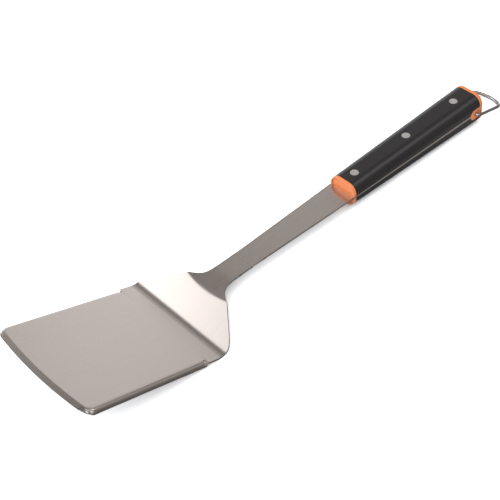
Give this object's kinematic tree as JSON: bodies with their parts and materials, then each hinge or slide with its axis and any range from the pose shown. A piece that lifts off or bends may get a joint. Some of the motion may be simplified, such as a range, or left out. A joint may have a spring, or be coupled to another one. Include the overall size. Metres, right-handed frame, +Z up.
{
  "type": "grill spatula",
  "caption": "Long grill spatula: turned-down steel blade with a cranked neck and full tang, riveted black handle scales, orange end caps and a hinged wire hanging loop.",
  "frame": {"origin": "on the table, under the middle of the spatula's bounding box, with the spatula lying as it rests: on its heel and its butt, with the hanging loop's end just clear of the table", "axes": "+X from the blade to the handle, +Z up from the table, +Y to the left when looking along +X"},
  "size_m": [0.4788, 0.1018, 0.0434],
  "materials": {
    "brushed_sheet": "brushed stainless sheet, satin",
    "black_handle": "satin black moulded plastic",
    "orange_trim": "satin orange moulded plastic",
    "rivet_steel": "ground flush, satin",
    "polished_wire": "bright drawn stainless wire"
  },
  "bodies": {
    "spatula": {"blade_and_tang": "brushed_sheet", "upper_scale": "black_handle", "lower_scale": "black_handle", "upper_bolster": "orange_trim", "lower_bolster": "orange_trim", "rear_cap": "orange_trim", "front_rivet_tube": "rivet_steel", "front_rivet_pin": "rivet_steel", "middle_rivet_tube": "rivet_steel", "middle_rivet_pin": "rivet_steel", "rear_rivet_tube": "rivet_steel", "rear_rivet_pin": "rivet_steel"},
    "loop": {"hanging_loop": "polished_wire"}
  },
  "joints": [
    {"name": "loop_swing", "type": "hinge", "parent": "spatula", "child": "loop", "pos_m": [0.19993, 0, 0.01389], "axis": [0, 1, 0], "range_deg": [-169, 136]}
  ]
}
